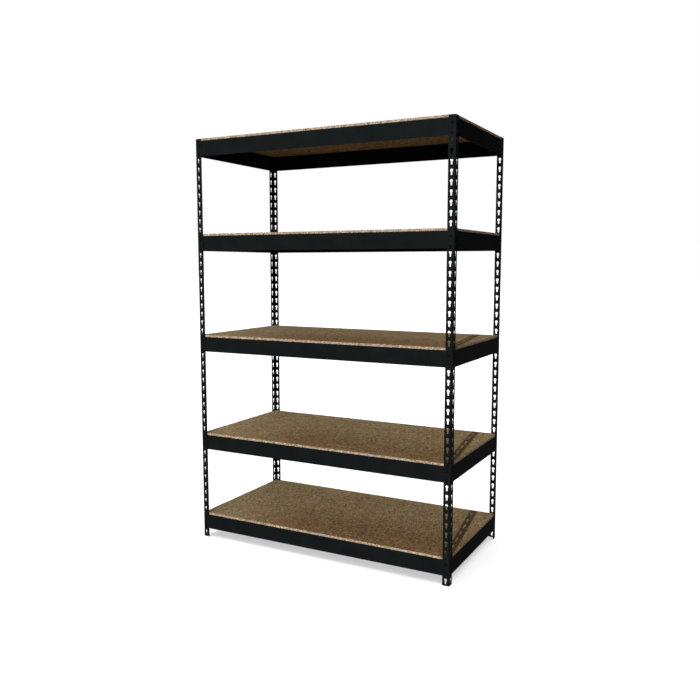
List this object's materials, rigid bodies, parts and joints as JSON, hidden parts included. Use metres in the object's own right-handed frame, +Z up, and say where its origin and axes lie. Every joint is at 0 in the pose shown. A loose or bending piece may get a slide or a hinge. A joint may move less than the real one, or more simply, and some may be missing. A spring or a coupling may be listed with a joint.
{
  "type": "boltless steel shelving",
  "caption": "Free-standing boltless shelving rack: keyhole angle posts, riveted steel beams that hook into them and loose particle board decks.",
  "frame": {"origin": "centre of the footprint, on the floor under the posts", "axes": "+Z up along the posts, +X along the width to the right seen from the front, front faces -Y"},
  "size_m": [1.2292, 0.6196, 1.8303],
  "materials": {
    "post_coat": "satin black powder coat",
    "beam_coat": "satin black powder coat",
    "rivet_coat": "semi-gloss black coat",
    "particle_board": "raw unsealed particle board"
  },
  "bodies": {
    "posts": {"post_front_left": "post_coat", "post_front_right": "post_coat", "post_rear_right": "post_coat", "post_rear_left": "post_coat"},
    "shelf_1": {"shelf_1_front_beam": "beam_coat", "shelf_1_front_rivets": "rivet_coat", "shelf_1_right_beam": "beam_coat", "shelf_1_right_rivets": "rivet_coat", "shelf_1_rear_beam": "beam_coat", "shelf_1_rear_rivets": "rivet_coat", "shelf_1_left_beam": "beam_coat", "shelf_1_left_rivets": "rivet_coat"},
    "deck_1": {"deck_1": "particle_board"},
    "shelf_2": {"shelf_2_front_beam": "beam_coat", "shelf_2_front_rivets": "rivet_coat", "shelf_2_right_beam": "beam_coat", "shelf_2_right_rivets": "rivet_coat", "shelf_2_rear_beam": "beam_coat", "shelf_2_rear_rivets": "rivet_coat", "shelf_2_left_beam": "beam_coat", "shelf_2_left_rivets": "rivet_coat"},
    "deck_2": {"deck_2": "particle_board"},
    "shelf_3": {"shelf_3_front_beam": "beam_coat", "shelf_3_front_rivets": "rivet_coat", "shelf_3_right_beam": "beam_coat", "shelf_3_right_rivets": "rivet_coat", "shelf_3_rear_beam": "beam_coat", "shelf_3_rear_rivets": "rivet_coat", "shelf_3_left_beam": "beam_coat", "shelf_3_left_rivets": "rivet_coat"},
    "deck_3": {"deck_3": "particle_board"},
    "shelf_4": {"shelf_4_front_beam": "beam_coat", "shelf_4_front_rivets": "rivet_coat", "shelf_4_right_beam": "beam_coat", "shelf_4_right_rivets": "rivet_coat", "shelf_4_rear_beam": "beam_coat", "shelf_4_rear_rivets": "rivet_coat", "shelf_4_left_beam": "beam_coat", "shelf_4_left_rivets": "rivet_coat"},
    "deck_4": {"deck_4": "particle_board"},
    "shelf_5": {"shelf_5_front_beam": "beam_coat", "shelf_5_front_rivets": "rivet_coat", "shelf_5_right_beam": "beam_coat", "shelf_5_right_rivets": "rivet_coat", "shelf_5_rear_beam": "beam_coat", "shelf_5_rear_rivets": "rivet_coat", "shelf_5_left_beam": "beam_coat", "shelf_5_left_rivets": "rivet_coat"},
    "deck_5": {"deck_5": "particle_board"}
  },
  "joints": [
    {"name": "shelf_1_unhook", "type": "slide", "parent": "posts", "child": "shelf_1", "axis": [0, 0, 1], "range_m": [0, 0.014]},
    {"name": "deck_1_lift", "type": "slide", "parent": "shelf_1", "child": "deck_1", "axis": [0, 0, 1], "range_m": [0, 0.1]},
    {"name": "shelf_2_unhook", "type": "slide", "parent": "posts", "child": "shelf_2", "axis": [0, 0, 1], "range_m": [0, 0.014]},
    {"name": "deck_2_lift", "type": "slide", "parent": "shelf_2", "child": "deck_2", "axis": [0, 0, 1], "range_m": [0, 0.337]},
    {"name": "shelf_3_unhook", "type": "slide", "parent": "posts", "child": "shelf_3", "axis": [0, 0, 1], "range_m": [0, 0.014]},
    {"name": "deck_3_lift", "type": "slide", "parent": "shelf_3", "child": "deck_3", "axis": [0, 0, 1], "range_m": [0, 0.375]},
    {"name": "shelf_4_unhook", "type": "slide", "parent": "posts", "child": "shelf_4", "axis": [0, 0, 1], "range_m": [0, 0.014]},
    {"name": "deck_4_lift", "type": "slide", "parent": "shelf_4", "child": "deck_4", "axis": [0, 0, 1], "range_m": [0, 0.375]},
    {"name": "shelf_5_unhook", "type": "slide", "parent": "posts", "child": "shelf_5", "axis": [0, 0, 1], "range_m": [0, 0.014]},
    {"name": "deck_5_lift", "type": "slide", "parent": "shelf_5", "child": "deck_5", "axis": [0, 0, 1], "range_m": [0, 0.299]}
  ]
}
